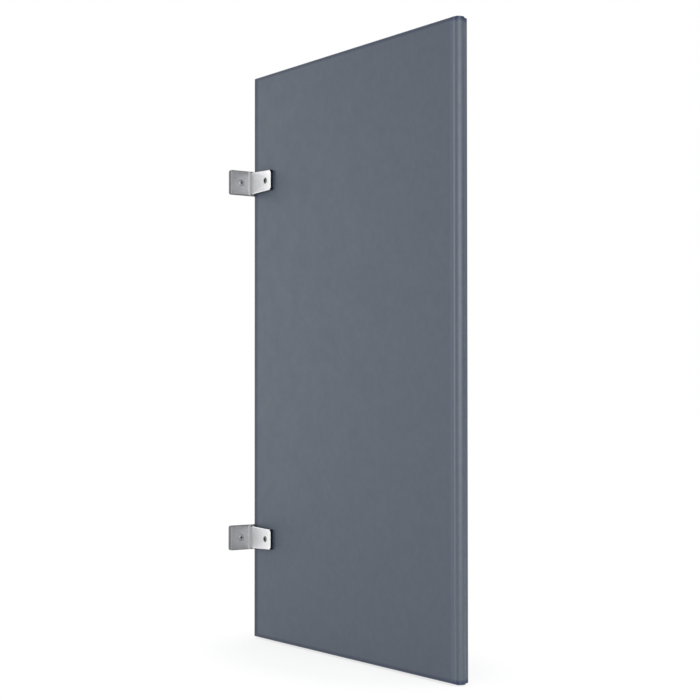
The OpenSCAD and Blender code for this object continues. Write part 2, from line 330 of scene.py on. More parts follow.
class ScreenPanelSettings(bpy.types.PropertyGroup):
    """The face sheets, the strips that lock them together, and their coating."""

    sheet: length("Sheet", "Thickness of the face sheets", 0.9 * MM)
    fold: length("Fold", "Outside radius of the fold round each sheet", 4.5 * MM)
    lip: length("Lip", "Width of the return lip", 10 * MM)
    fold_steps: bpy.props.IntProperty(
        name="Fold steps", description="Faces across each fold", default=10, min=3, max=32
    )
    strip: length("Strip", "Thickness of the strip steel", 1.0 * MM)
    strip_width: length("Strip width", "Width of the crowns and caps", 17.2 * MM)
    crown: length("Crown", "Height of the crown above the fold", 4.0 * MM)
    seat: length("Seat", "Gap between a strip and the fold under it", 0.1 * MM)
    hook: length("Hook", "Reach of each hook behind a lip", 2.0 * MM)
    leg: length("Leg", "Depth of the strip's legs behind the fold", 11.2 * MM)
    leg_cut: length("Leg cut", "Where the legs stop short of a corner", 12.7 * MM)
    cap_ease: length("Cap ease", "Chamfer along the long edges of the caps", 0.35 * MM)
    hole: length("Hole", "Radius of the barrel nuts' holes", 4.2 * MM)
    coat: colour("Coat", "Powder coat of the sheets", "#576373")
    # Painted shade: the strips' coat is a darker, greyer copy of the sheets' coat, standing in for
    # the light on them.
    shaded_strip_coat: colour("Strip coat", "Powder coat of the strips, a touch greyer", "#545d69")
    peel: length("Peel", "Width of the coat's orange peel", 3.5 * MM)
    # The next three settings paint shade on the coat, darker towards the ends and the wall-side
    # fold.
    edge_shade: amount("Edge build", "How much darker the coat is where it is thickest", 0.85)
    end_shade_band: lengths(
        "End band", "How far from an end the coat starts to thicken, and is thickest",
        8.8 * MM, 3.85 * MM,
    )
    wall_shade_band: lengths(
        "Wall band", "How far from the wall-side fold it starts to thicken, and is thickest",
        17.6 * MM, 11 * MM,
    )
    # Painted highlight: the coat is paler along the outer fold, from the first distance to the
    # second.
    fold_highlight_band: lengths(
        "Worn band", "How far from the outer fold the coat starts to thin, and is thinnest",
        8.8 * MM, 4.4 * MM,
    )
    # Painted shade: round the outer fold the sheets take the strips' shaded tone, from the first
    # distance to the second.
    fold_shade_band: lengths(
        "Turned band", "How far from the outer fold the strips' tone starts, and is full",
        3.3 * MM, 1.1 * MM,
    )


class ScreenHardwareSettings(bpy.types.PropertyGroup):
    """The wall brackets and the fixings."""

    ear: length("Ear", "Thickness of the ears", 7.0 * MM)
    root: length("Root", "Radius of the fillet between ear and leg", 6.0 * MM)
    edge_round: length("Edge round", "Rounding of the casting's edges", 0.5 * MM)
    # Past these distances the legs are polished; short of them the ears take their painted shade.
    polish: lengths(
        "Polish", "Where the polish starts past the ears, and is full past the fillets",
        2 * MM, 1 * MM,
    )
    chrome: colour("Chrome", "Polished chrome plate of the legs", "#f8f8f9")
    # The ears' duller grey is painted shade.
    ears: colour("Ears", "Duller plate of the ears", "#a9aaac")
    # Painted shade on the trimmed rims, full on the legs' and less on the ears'.
    rims: colour("Rims", "Dark plate of the trimmed rims", "#2c2d30")
    ear_rim_shade: amount("Ear rims", "Darkness of the ears' rims, where the legs' have 1", 0.55)
    # Painted shade in the fillets, which dims their highlight.
    fillets: amount("Fillets", "The most that the fillets' cast skin darkens", 0.12)
    leg_roughness: amount("Leg roughness", "Roughness of the polished legs", 0.5)
    ear_roughness: amount("Ear roughness", "Roughness of the duller ears", 0.55)
    bolt: length("Bolt", "Radius of the through bolts", 3.0 * MM)
    barrel: length("Barrel", "Radius of the barrel nuts", 4.0 * MM)
    bolt_ease: length("Bolt ease", "Chamfer at the end of a bolt or barrel nut", 0.4 * MM)
    bolt_root: lengths(
        "Bolt root", "Height and width of the fillet under a domed head", 0.3 * MM, 0.2 * MM
    )
    head_height: length("Head height", "Height of the bolts' domed heads", 2.4 * MM)
    head_ease: length("Head ease", "Chamfer round a domed head's foot", 0.15 * MM)
    recess: length("Recess", "Depth of the drive recesses", 1.6 * MM)
    recess_lip: length("Recess lip", "Straight wall at the mouth of a six-lobed recess", 0.2 * MM)
    recess_radius: length("Recess radius", "Radius of the six-lobed recess", 2.1 * MM)
    lobe_radius: length("Lobe radius", "Radius of its lobes", 0.9 * MM)
    lobed_floor: amount("Lobed floor", "Share of its outline that its floor keeps", 0.86)
    cross_width: length("Cross width", "Width of the cross recess", 1.5 * MM)
    cross_length: length("Cross length", "Length of the cross recess", 6.0 * MM)
    crossed_floor: amount("Crossed floor", "Share of its outline that its floor keeps", 0.85)
    rim: length("Rim", "Radius of the wall screws' heads", 6.0 * MM)
    rim_ease: lengths(
        "Rim ease", "Height and width of the ease under their rims", 0.25 * MM, 0.2 * MM
    )
    oval: length("Oval", "Height of the wall screws' raised heads", 1.0 * MM)
    lost_crown: length("Lost crown", "Height that the recess takes off those heads", 0.03 * MM)
    sink: bpy.props.FloatProperty(
        name="Sink", description="Angle of the countersink to its axis",
        default=math.radians(41), subtype="ANGLE",
    )
    neck: length("Neck", "Radius of the wall screws' plain necks", 2.6 * MM)
    neck_length: length("Neck length", "Length of the plain necks", 5 * MM)
    neck_taper: length("Neck taper", "Length of the taper from neck to thread", 1 * MM)
    shank: length("Shank", "Radius of the wall screws over their thread", 2.9 * MM)
    tip: length("Tip", "Radius of the wall screws' blunt tips", 0.3 * MM)
    thread_depth: length("Thread depth", "Height of the wall screws' thread", 0.8 * MM)
    thread_pitch: length("Thread pitch", "Pitch of the wall screws' thread", 2.8 * MM)
    zinc: colour("Zinc", "Zinc plate of the wall screws", "#9da0a3")
    # Painted shade: the through bolts' zinc is darker, standing in for shade at their heads.
    bolts: colour("Bolts", "Darker zinc of the through bolts", "#75777a")
    # Painted shade in the drive recesses.
    recess_shade: colour("Grime", "Dirt and shade in the drive recesses", "#1d1d1e")


class ScreenInsideSettings(bpy.types.PropertyGroup):
    """What is sealed inside the panel."""

    kraft: colour("Kraft", "Paper of the honeycomb", "#b58d5e")
    steel: colour("Steel", "Galvanised steel of the channels", "#9a9ea2")
    spangle: length("Spangle", "Width of the zinc's crystals", 9 * MM)


class ScreenStageSettings(bpy.types.PropertyGroup):
    """Camera, floor and light."""

    camera_place: bpy.props.FloatVectorProperty(
        name="Camera place", description="Where the camera stands", subtype="TRANSLATION",
        default=(2.5137, -1.5664, -0.0647), size=3,
    )
    camera_turn: bpy.props.FloatVectorProperty(
        name="Camera turn", description="Tilt from straight down, roll and heading",
        subtype="EULER", default=tuple(math.radians(a) for a in (91.069, 0.031, 54.697)), size=3,
    )
    camera_shift: bpy.props.FloatVectorProperty(
        name="Camera shift", description="How far the frame is shifted, in its own widths",
        default=(0.00111, 0.02157), size=2, precision=5,
    )
    sensor: amount("Sensor", "Width of the camera's sensor in mm", 36, 100)
    lens: amount("Lens", "Focal length in mm", 79.255, 500)
    floor_gap: length("Floor gap", "Room between the panel and the floor", 2 * MM)
    foot: lengths("Foot", "Half axes of the oval of shade round the panel's foot", 0.31, 0.18)
    paper: colour("Paper", "Floor paper as it lights the panel", "#e6e6e6")
    ambient: amount("Ambient", "Strength of the world's light on the object", 0.495, 4)
    key: amount("Key", "Strength of the main lamp in watts", 66, 1000)
    side: amount("Side", "Strength of the lamp on the wall side in watts", 5, 1000)
    dark: colour("Dark", "Tone of the card that darkens reflections", "#202020")


# ---------- materials ----------


def coated_steel(name, settings, coat, box=None, folded=False):
    """Semi-gloss polyester powder coat on steel: an even blue-grey with a fine orange peel that
    breaks up reflections. Painted shade darkens the coat towards the ends of a piece with a box,
    and along the wall-side fold of a folded one. A painted highlight makes it paler along the outer
    fold, and painted shade turns it to the strips' greyer, shaded tone round that fold."""
    material, tree = new_nodes(bpy.data.materials, name)
    darker, lighter = shaded(coat, 0.94), shaded(coat, 1.06)
    broad_share = 0.2
    mottle = patches(tree, 12 * MM, 2, span=(0.0, 1.0))
    cloud = patches(tree, 120 * MM, 1, span=(0.0, 1.0), seed=3)
    fine = add(tree, "ShaderNodeMix", (mottle, darker, lighter), data_type="RGBA")
    broad = add(tree, "ShaderNodeMix", (cloud, darker, lighter), data_type="RGBA")
    tint = add(tree, "ShaderNodeMix", (broad_share, fine, broad), data_type="RGBA")
    if box is not None:
        low, high = box
        place = add(tree, "ShaderNodeTexCoord", out="Object")
        spot = add(tree, "ShaderNodeSeparateXYZ", (place,), out=None).outputs
        shaded_edges = [("Z", high.z, -1, settings.end_shade_band), ("Z", low.z, 1, settings.end_shade_band)]
        # The tones painted round the outer fold: a painted highlight, then the strips' shaded tone.
        thin = []
        if folded:
            shaded_edges.append(("X", low.x, 1, settings.wall_shade_band))
            thin.append((shaded(coat, 1.25), settings.fold_highlight_band))
            thin.append((tuple(settings.shaded_strip_coat), settings.fold_shade_band))
        for tone, (start, full) in thin:
            span = (high.x - start, high.x - full)
            share = add(tree, "ShaderNodeMapRange", (spot["X"], *span, 0.0, 1.0))
            tint = add(tree, "ShaderNodeMix", (share, tint, tone), data_type="RGBA")
        # Painted shade towards the ends and the wall-side fold, down to a deeper blue-grey.
        build = 0.0
        for axis, edge, inwards, (start, full) in shaded_edges:
            span = (edge + inwards * start, edge + inwards * full)
            share = add(
                tree, "ShaderNodeMapRange", (spot[axis], *span, 0.0, settings.edge_shade)
            )
            build = add(tree, "ShaderNodeMath", (build, share), operation="MAXIMUM")
        shade_tone = shaded(coat, (0.1, 0.2, 0.45))
        tint = add(tree, "ShaderNodeMix", (build, tint, shade_tone), data_type="RGBA")
    surfaced(
        tree,
        {
            "Base Color": tint,
            "Roughness": patches(tree, 30 * MM, 2, span=(0.4, 0.46), seed=7),
            "IOR": 1.5,
            "Specular IOR Level": 0.5,
        },
        (patches(tree, 90 * MM, 1, seed=5), 0.4 * MM, 0.25),
        (patches(tree, settings.peel, 2), 0.06 * MM, 0.35),
    )
    return material


def satin_chrome(name, settings):
    """Satin chrome plate on a zinc die casting. The polished legs are bright and neutral. The ears
    are rougher, and their duller grey is painted shade; the trimmed rims carry the darkest painted
    shade. Soft waves of the casting lie under a fine polishing grain."""
    material, tree = new_nodes(bpy.data.materials, name)
    place = add(tree, "ShaderNodeTexCoord", out="Object")
    out = add(tree, "ShaderNodeSeparateXYZ", (place,), out="X")
    start = settings.ear + settings.polish[0]
    full = settings.ear + settings.root + settings.polish[1]
    # 0 on the ears, which take painted shade and more roughness, and 1 on the polished legs.
    polished = add(tree, "ShaderNodeMapRange", (out, start, full, 0.0, 1.0))
    # The rim attribute carries painted shade on rims and fillets.
    rim = add(tree, "ShaderNodeAttribute", attribute_name="rim", out="Fac")
    plate = tuple(settings.ears)
    for share, tone in ((polished, settings.chrome), (rim, settings.rims)):
        plate = add(tree, "ShaderNodeMix", (share, plate, tuple(tone)), data_type="RGBA")
    cloud = patches(tree, 11 * MM, 3, span=(0.93, 1.0))
    tint = add(
        tree, "ShaderNodeMix", (1.0, plate, cloud), data_type="RGBA", blend_type="MULTIPLY"
    )
    # The wheel's marks are about 0.1 mm wide, and are drawn this coarse so that they show.
    grain = patches(tree, 1.6 * MM, 2, stretch=(0.12, 0.12, 1.0))
    streaks = add(tree, "ShaderNodeMapRange", (grain, *NOISE_MIDDLE, -0.04, 0.06))
    finishes = (settings.ear_roughness, settings.leg_roughness)
    finish = add(tree, "ShaderNodeMapRange", (polished, 0.0, 1.0, *finishes))
    surfaced(
        tree,
        {
            "Base Color": tint,
            "Metallic": 1.0,
            "Roughness": add(tree, "ShaderNodeMath", (finish, streaks), operation="ADD"),
        },
        (patches(tree, 16 * MM, 1, seed=2), 0.35 * MM, 0.3),
        (grain, 0.03 * MM, 0.4),
    )
    return material


def zinc_plate(name, plating, recess_shade):
    """Zinc on turned and rolled steel: greyer than chrome, with fine turning marks, and with
    painted shade in the drive recess."""
    material, tree = new_nodes(bpy.data.materials, name)
    patchy = patches(tree, 4 * MM, 3, span=(0.0, 1.0))
    # The recess attribute marks where painted shade goes.
    depth = add(tree, "ShaderNodeAttribute", attribute_name="recess", out="Fac")
    tint = shaded(plating, 0.8)
    for share, tone in ((patchy, plating), (depth, recess_shade)):
        tint = add(tree, "ShaderNodeMix", (share, tint, tuple(tone)), data_type="RGBA")
    # Turning marks are about 0.1 mm wide, and are drawn this coarse so that they show.
    marks = patches(tree, 0.7 * MM, 2)
    surfaced(
        tree,
        {
            "Base Color": tint,
            "Metallic": 1.0,
            "Roughness": add(tree, "ShaderNodeMapRange", (marks, *NOISE_MIDDLE, 0.44, 0.56)),
        },
        (marks, 0.02 * MM, 0.5),
    )
    return material


def kraft_paper(name, kraft):
    """Unbleached kraft paper: matt brown, flecked with long pulp fibres."""
    material, tree = new_nodes(bpy.data.materials, name)
    # Pulp fibres are about 0.05 mm wide, and are drawn this coarse so that they show.
    fibres = patches(
        tree, 1.2 * MM, 4, span=(0.0, 1.0), stretch=(1.0, 1.0, 0.2), middle=(0.35, 0.65)
    )
    dark, pale = shaded(kraft, 0.72), tuple(kraft)
    surfaced(
        tree,
        {
            "Base Color": add(tree, "ShaderNodeMix", (fibres, dark, pale), data_type="RGBA"),
            "Roughness": 0.92,
            "IOR": 1.45,
        },
        (fibres, 0.05 * MM, 0.6),
    )
    return material


def galvanised_steel(name, steel, spangle):
    """Hot-dip galvanised sheet: a dull grey metal broken into pale and dark zinc crystals."""
    material, tree = new_nodes(bpy.data.materials, name)
    place = add(tree, "ShaderNodeTexCoord", out="Object")
    crystals = add(
        tree, "ShaderNodeTexVoronoi", {"Vector": place, "Scale": 1 / spangle}, out="Color"
    )
    shade = add(tree, "ShaderNodeSeparateColor", (crystals,), out="Red")
    dark, pale = shaded(steel, 0.7), tuple(steel)
    surfaced(
        tree,
        {
            "Base Color": add(tree, "ShaderNodeMix", (shade, dark, pale), data_type="RGBA"),
            "Metallic": 1.0,
            "Roughness": add(tree, "ShaderNodeMapRange", (shade, 0.0, 1.0, 0.34, 0.55)),
        },
        (patches(tree, 2 * MM, 3), 0.03 * MM, 0.5),
    )
    return material


# ---------- face sheets ----------


def pan_profile(top, lip_y, settings):
    """Stretches of a pan's section as pairs of (inset, height, normal inwards, normal up)."""
    sheet, fold, lip = settings.sheet, settings.fold, settings.lip
    inner = fold - sheet
    steps = settings.fold_steps
    angles = [QUARTER * i / steps for i in range(steps + 1)]
    outer_arc = [
        (fold - fold * math.sin(a), top - fold + fold * math.cos(a), -math.sin(a), math.cos(a))
        for a in angles
    ]
    inner_arc = [
        (fold - inner * math.sin(a), top - fold + inner * math.cos(a), math.sin(a), -math.cos(a))
        for a in reversed(angles)
    ]
    flats = [
        ((0, top - fold), (0, lip_y), (-1, 0)),
        ((0, lip_y), (lip, lip_y), (0, -1)),
        ((lip, lip_y), (lip, lip_y + sheet), (1, 0)),
        ((lip, lip_y + sheet), (sheet, lip_y + sheet), (0, 1)),
        ((sheet, lip_y + sheet), (sheet, top - fold), (1, 0)),
    ]
    stretches = list(zip(outer_arc, outer_arc[1:]))
    stretches += [(start + normal, end + normal) for start, end, normal in flats]
    stretches += list(zip(inner_arc, inner_arc[1:]))
    return stretches


def pan_mesh(name, low, high, side, settings, holes):
    """A closed mesh of one folded face sheet, with mitred corners and exact normals."""
    lip_y, top = sorted((abs(low.y), abs(high.y)))
    sheet = settings.sheet
    places, index, faces, normals = [], {}, [], []

    def at(point, height):
        """The number of the corner over that point of XZ, so far from the panel's middle."""
        key = tuple(round(n, PLACES) for n in (point[0], side * height, point[1]))
        if key not in index:
            index[key] = len(places)
            places.append(Vector(key))
        return index[key]

    def face(ids, facing):
        """Adds a face, turned to agree with the normals that its corners have."""
        first = places[ids[0]]
        if (places[ids[1]] - first).cross(places[ids[-1]] - first).dot(facing[0]) < 0:
            ids, facing = ids[::-1], facing[::-1]
        faces.append(ids)
        normals.extend(facing)

    def outline(inset):
        """The panel's four corners, drawn in by inset."""
        left, right, foot, head = low.x + inset, high.x - inset, low.z + inset, high.z - inset
        return [(left, foot), (right, foot), (right, head), (left, head)]

    inwards = [Vector((0, 0, 1)), Vector((-1, 0, 0)), Vector((0, 0, -1)), Vector((1, 0, 0))]
    for (d0, y0, n0, m0), (d1, y1, n1, m1) in pan_profile(top, lip_y, settings):
        for inward, (a, b), (c, d) in zip(
            inwards, neighbours(outline(d0)), neighbours(outline(d1))
        ):
            start = n0 * inward + Vector((0, side * m0, 0))
            end = n1 * inward + Vector((0, side * m1, 0))
            face([at(a, y0), at(b, y0), at(d, y1), at(c, y1)], [start, start, end, end])

    turns = [2 * math.pi * i / HOLE_SIDES for i in range(HOLE_SIDES)]
    rings = [
        [(x + settings.hole * math.cos(a), z + settings.hole * math.sin(a)) for a in turns]
        for x, z in holes
    ]
    points, loops = [], []
    for loop in [outline(settings.fold)] + rings:
        loops.append(list(range(len(points), len(points) + len(loop))))
        points += [Vector(point) for point in loop]
    spots, _, triangles, *_ = geometry.delaunay_2d_cdt(
        points, [], loops, INSIDE_BUT_HOLES, 10**-PLACES
    )
    for height, up in ((top, side), (top - sheet, -side)):
        for triangle in triangles:
            face([at(spots[i], height) for i in triangle], [Vector((0, up, 0))] * 3)
    for (x, z), ring in zip(holes, rings):
        for p, q in neighbours(ring):
            start, end = (Vector((x - u, 0, z - v)).normalized() for u, v in (p, q))
            face(
                [at(p, top), at(q, top), at(q, top - sheet), at(p, top - sheet)],
                [start, end, end, start],
            )

    mesh = bpy.data.meshes.new(name)
    mesh.from_pydata(places, [], faces)
    for polygon in mesh.polygons:
        polygon.use_smooth = True
    mesh.normals_split_custom_set([tuple(n) for n in normals])
    return mesh


class SCREEN_OT_face_sheets(bpy.types.Operator):
    """Fold the two face sheets of the panel"""

    bl_idname = "screen.face_sheets"
    bl_label = "Face Sheets"

    def execute(self, context):
        settings = context.scene.screen_panel
        coat = coated_steel(
            "powder_coated_steel_sheet", settings, settings.coat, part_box("front_sheet"), True
        )
        nuts = [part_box(level + "_barrel_nut") for level in LEVELS]
        holes = [((low.x + high.x) / 2, (low.z + high.z) / 2) for low, high in nuts]
        for node, side in (("front_sheet", -1), ("rear_sheet", 1)):
            mesh = pan_mesh(node + "_folded", *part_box(node), side, settings, holes)
            finish_piece(new_object(node + "_folded", mesh), coat, node)
        return {"FINISHED"}


# ---------- locking strips ----------


def rolled_length_tree():
    """Closed section loops, drawn in the XY plane, pulled to a length and set in place."""
    tree, inputs = new_tree(
        "rolled_length",
        [
            ("Length", "NodeSocketFloat", 1.0),
            ("Turn", "NodeSocketRotation", None),
            ("Place", "NodeSocketVector", (0.0, 0.0, 0.0)),
            ("Material", "NodeSocketMaterial", None),
        ],
    )
    loops = add(tree, "GeometryNodeMeshToCurve", (inputs["Geometry"],))
    section = add(tree, "GeometryNodeFillCurve", (loops,), mode="NGONS")
    up = add(tree, "ShaderNodeCombineXYZ", {"Z": inputs["Length"]})
    pulled = add(
        tree,
        "GeometryNodeExtrudeMesh",
        {"Mesh": section, "Offset": up, "Offset Scale": 1.0, "Individual": False},
    )
    lid = add(tree, "GeometryNodeFlipFaces", (section,))
    both = add(tree, "GeometryNodeJoinGeometry", ([pulled, lid],))
    whole = add(tree, "GeometryNodeMergeByDistance", {"Geometry": both, "Distance": MERGE})
    placed = add(
        tree,
        "GeometryNodeTransform",
        {"Geometry": whole, "Translation": inputs["Place"], "Rotation": inputs["Turn"]},
    )
    return end_tree(tree, placed, inputs["Material"])


def loops_mesh(name, loops):
    """A mesh of closed edge loops in the XY plane."""
    places, edges = [], []
    for loop in loops:
        edges += neighbours(list(range(len(places), len(places) + len(loop))))
        places += [(x, y, 0.0) for x, y in loop]
    mesh = bpy.data.meshes.new(name)
    mesh.from_pydata(places, edges, [])
    return mesh


def mirrored(points):
    """The same points on the other side of the X axis, in the reverse order."""
    return [(x, -y) for x, y in reversed(points)]


def arc(radius, centre, from_x, steps):
    """Points on a circle round (centre, 0), from its lower to its upper crossing of from_x."""
    reach = math.acos((from_x - centre) / radius)
    angles = [reach * (2 * i / steps - 1) for i in range(steps + 1)]
    return [(centre + radius * math.cos(a), radius * math.sin(a)) for a in angles]


def crown_loops(s, lip_y):
    """Section of the crown's shell, and of the plate that closes each of its ends."""
    rise, half = s.crown - s.seat, s.strip_width / 2
    radius = (half**2 + rise**2) / (2 * rise)
    centre = s.crown - radius
    outer = arc(radius, centre, s.seat, CROWN_STEPS[0])
    inner = arc(radius - s.strip, centre, s.seat + s.strip, CROWN_STEPS[1])
    foot = lip_y - s.seat - s.strip
    base = [(s.seat, foot), (s.seat + s.strip, foot)]
    return outer + base + inner[::-1] + mirrored(base), outer


def leg_loops(s, lip_y):
    """Section of the two legs that hook behind the lips."""
    top, inner = s.seat + s.strip, lip_y - s.seat - s.strip
    loop = [
        (top, inner), (top, inner + s.strip), (s.strip - s.leg, inner + s.strip),
        (s.strip - s.leg, inner + s.strip + s.hook), (-s.leg, inner + s.strip + s.hook),
        (-s.leg, inner),
    ]
    return [loop, mirrored(loop)]


def cap_loop(s):
    """Section of a flat cap, with its two long edges eased."""
    low, high, half = s.seat, s.seat + s.strip, s.strip_width / 2
    upper = [(high, half - s.cap_ease), (high - s.cap_ease, half), (low, half)]
    return mirrored(upper) + upper


def rolled_piece(node, runs, turn, coat, tree):
    """Makes one strip from its runs, each some loops, the place where they start and a length."""
    parts = [
        grown(
            f"{node}_{i}",
            loops_mesh(f"{node}_{i}_section", loops),
            tree,
            {"Length": run, "Turn": Euler(turn), "Place": place, "Material": coat},
        )
        for i, (loops, place, run) in enumerate(runs)
    ]
    strip = joined(node + "_rolled", parts)
    smooth_by_angle(strip.data, STRIP_CREASE)
    finish_piece(strip, coat, node)


class SCREEN_OT_locking_strips(bpy.types.Operator):
    """Roll the crowned edge strips and the flat caps that lock the sheets together"""

    bl_idname = "screen.locking_strips"
    bl_label = "Locking Strips"

    def execute(self, context):
        s = context.scene.screen_panel
        tree = rolled_length_tree()
        low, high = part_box("rear_sheet")
        shell, plate = crown_loops(s, low.y)
        legs = leg_loops(s, low.y)
        # The crowns and caps wear the strips' shaded copy of the coat, and the crowns painted shade
        # at their ends.
        crown_coat = coated_steel(
            "powder_coated_steel_crown", s, s.shaded_strip_coat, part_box("outer_strip")
        )
        for node, x, turn in (("outer_strip", high.x, 0.0), ("wall_strip", low.x, math.pi)):
            bottom, top = (corner.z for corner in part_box(node))
            runs = (
                ([shell], (x, 0, bottom + s.strip), top - bottom - 2 * s.strip),
                ([plate], (x, 0, bottom), s.strip),
                ([plate], (x, 0, top - s.strip), s.strip),
                (legs, (x, 0, low.z + s.leg_cut), high.z - low.z - 2 * s.leg_cut),
            )
            rolled_piece(node, runs, (0, 0, turn), crown_coat, tree)
        cap_coat = coated_steel("powder_coated_steel_cap", s, s.shaded_strip_coat)
        for node, z, turn in (("top_cap", high.z, -QUARTER), ("bottom_cap", low.z, QUARTER)):
            left, right = (corner.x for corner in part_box(node))
            runs = []
            for loops, cut in (([cap_loop(s)], 0.0), (legs, s.leg_cut - s.seat)):
                start = right - cut if turn < 0 else left + cut
                runs.append((loops, (start, 0, z), right - left - 2 * cut))
            rolled_piece(node, runs, (0, turn, 0), cap_coat, tree)
        return {"FINISHED"}


# ---------- what is inside ----------


class SCREEN_OT_inside(bpy.types.Operator):
    """Finish the honeycomb core and the steel channels sealed inside the panel"""

    bl_idname = "screen.inside"
    bl_label = "Core and Channels"

    def execute(self, context):
        settings = context.scene.screen_inside
        paper = kraft_paper("kraft_paper_core", settings.kraft)
        steel = galvanised_steel(
            "galvanised_steel_channel", settings.steel, settings.spangle
        )
        frame["nodes"]["honeycomb_core"].material_slots[0].material = paper
        for level in LEVELS:
            frame["nodes"][level + "_reinforcement"].material_slots[0].material = steel
        return {"FINISHED"}


# ---------- brackets ----------


def eased_copy(name, node, width):
    """A merged copy of a node, with its sharp edges rounded to that width."""
    bm = bmesh.new()
    bm.from_mesh(frame["nodes"][node].data)
    bmesh.ops.remove_doubles(bm, verts=bm.verts, dist=PACKED_MERGE)
    bmesh.ops.dissolve_limit(
        bm, angle_limit=math.radians(CAST_FLAT), verts=bm.verts, edges=bm.edges
    )
    bmesh.ops.recalc_face_normals(bm, faces=bm.faces)
    obj = new_object(name, mesh_from(bm, name))
    smooth_by_angle(obj.data, CAST_CREASE)
    rounding = obj.modifiers.new("edges", "BEVEL")
    rounding.width = width
    rounding.segments = CAST_STEPS
    rounding.limit_method = "ANGLE"
    rounding.angle_limit = math.radians(CAST_EDGE)
    rounding.harden_normals = True
    rounding.use_clamp_overlap = True
    flats = obj.modifiers.new("flats", "WEIGHTED_NORMAL")
    flats.weight = 100  # the widest faces count most
    flats.keep_sharp = True
    return baked(obj)


def paint_rim_shade(mesh, settings):
    """Marks the casting with the attribute that paints shade on it: most on the trimmed rims of
    the legs, less on those of the ears, and least in the fillets, where it dims their highlight."""
    leg_x = settings.ear + settings.root
    head_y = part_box("upper_barrel_nut")[1].y - settings.head_height
    ear_y = head_y + settings.root
    sideways, squarely = 0.5, 0.95  # how much of a face's normal lies along one axis
    curved = (0.1, 0.99)
    marks = mesh.attributes.new("rim", "FLOAT", "FACE")
    for polygon in mesh.polygons:
        out, across, up = (abs(n) for n in polygon.normal)
        on_leg = polygon.center.x > leg_x
        on_ear = abs(polygon.center.y) > ear_y
        mark = 0.0
        if on_leg and across < sideways:
            mark = 1.0
        elif not on_leg and (up > sideways or (on_ear and out < squarely)):
            mark = settings.ear_rim_shade
        elif not on_leg and not on_ear and curved[0] < out < curved[1]:
            mark = settings.fillets * out
        marks.data[polygon.index].value = mark


class SCREEN_OT_brackets(bpy.types.Operator):
    """Finish the two cast wall brackets"""

    bl_idname = "screen.brackets"
    bl_label = "Wall Brackets"

    def execute(self, context):
        settings = context.scene.screen_hardware
        chrome = satin_chrome("satin_chrome_casting", settings)
        for level in LEVELS:
            node = level + "_bracket"
            casting = eased_copy(node + "_cast", node, settings.edge_round)
            paint_rim_shade(casting.data, settings)
            finish_piece(casting, chrome, node)
        return {"FINISHED"}


# ---------- fixings ----------


def fixing_row_tree():
    """Copies one fixing along a row, and winds a thread on each that tapers at its point."""
    tree, inputs = new_tree(
        "fixing_row",
        [
            ("Count", "NodeSocketInt", 1),
            ("First", "NodeSocketVector", (0.0, 0.0, 0.0)),
            ("Step", "NodeSocketVector", (0.0, 0.0, 0.0)),
            ("Turn", "NodeSocketRotation", None),
            ("Threaded", "NodeSocketBool", False),
            ("Thread start", "NodeSocketFloat", 0.0),
            ("Thread length", "NodeSocketFloat", 0.01),
            ("Point length", "NodeSocketFloat", 0.005),
            ("Pitch", "NodeSocketFloat", 0.002),
            ("Root radius", "NodeSocketFloat", 0.002),
            ("Crest", "NodeSocketFloat", 0.0005),
            ("Material", "NodeSocketMaterial", None),
        ],
    )
    thread_steps, ridge_sides, tip_share = 20, 3, 0.3
    root = inputs["Root radius"]
    start = add(tree, "ShaderNodeMath", (inputs["Thread start"], -1.0), operation="MULTIPLY")
    point = add(tree, "ShaderNodeMath", (start, inputs["Thread length"]), operation="SUBTRACT")
    tip = add(tree, "ShaderNodeMath", (root, tip_share), operation="MULTIPLY")
    ridge = add(
        tree,
        "GeometryNodeCurvePrimitiveCircle",
        {"Resolution": ridge_sides, "Radius": inputs["Crest"]},
        mode="RADIUS",
    )
    stretches = []
    for run, top, end_radius in (
        (inputs["Thread length"], start, root),
        (inputs["Point length"], point, tip),
    ):
        turns = add(tree, "ShaderNodeMath", (run, inputs["Pitch"]), operation="DIVIDE")
        wound = add(
            tree,
            "GeometryNodeCurveSpiral",
            {
                "Resolution": thread_steps,
                "Rotations": turns,
                "Start Radius": root,
                "End Radius": end_radius,
                "Height": add(tree, "ShaderNodeMath", (run, -1.0), operation="MULTIPLY"),
            },
        )
        swept = add(
            tree,
            "GeometryNodeCurveToMesh",
            {"Curve": wound, "Profile Curve": ridge, "Fill Caps": True},
        )
        lift = add(tree, "ShaderNodeCombineXYZ", {"Z": top})
        stretches.append(
            add(tree, "GeometryNodeTransform", {"Geometry": swept, "Translation": lift})
        )
    thread = add(tree, "GeometryNodeJoinGeometry", (stretches,))
    chosen = add(
        tree,
        "GeometryNodeSwitch",
        {"Switch": inputs["Threaded"], "True": thread},
        input_type="GEOMETRY",
    )
    fixing = add(tree, "GeometryNodeJoinGeometry", ([inputs["Geometry"], chosen],))
    row = add(
        tree,
        "GeometryNodeMeshLine",
        {"Count": inputs["Count"], "Start Location": inputs["First"], "Offset": inputs["Step"]},
        mode="OFFSET",
    )
    copies = add(
        tree,
        "GeometryNodeInstanceOnPoints",
        {"Points": row, "Instance": fixing, "Rotation": inputs["Turn"]},
    )
    return end_tree(tree, copies, inputs["Material"])


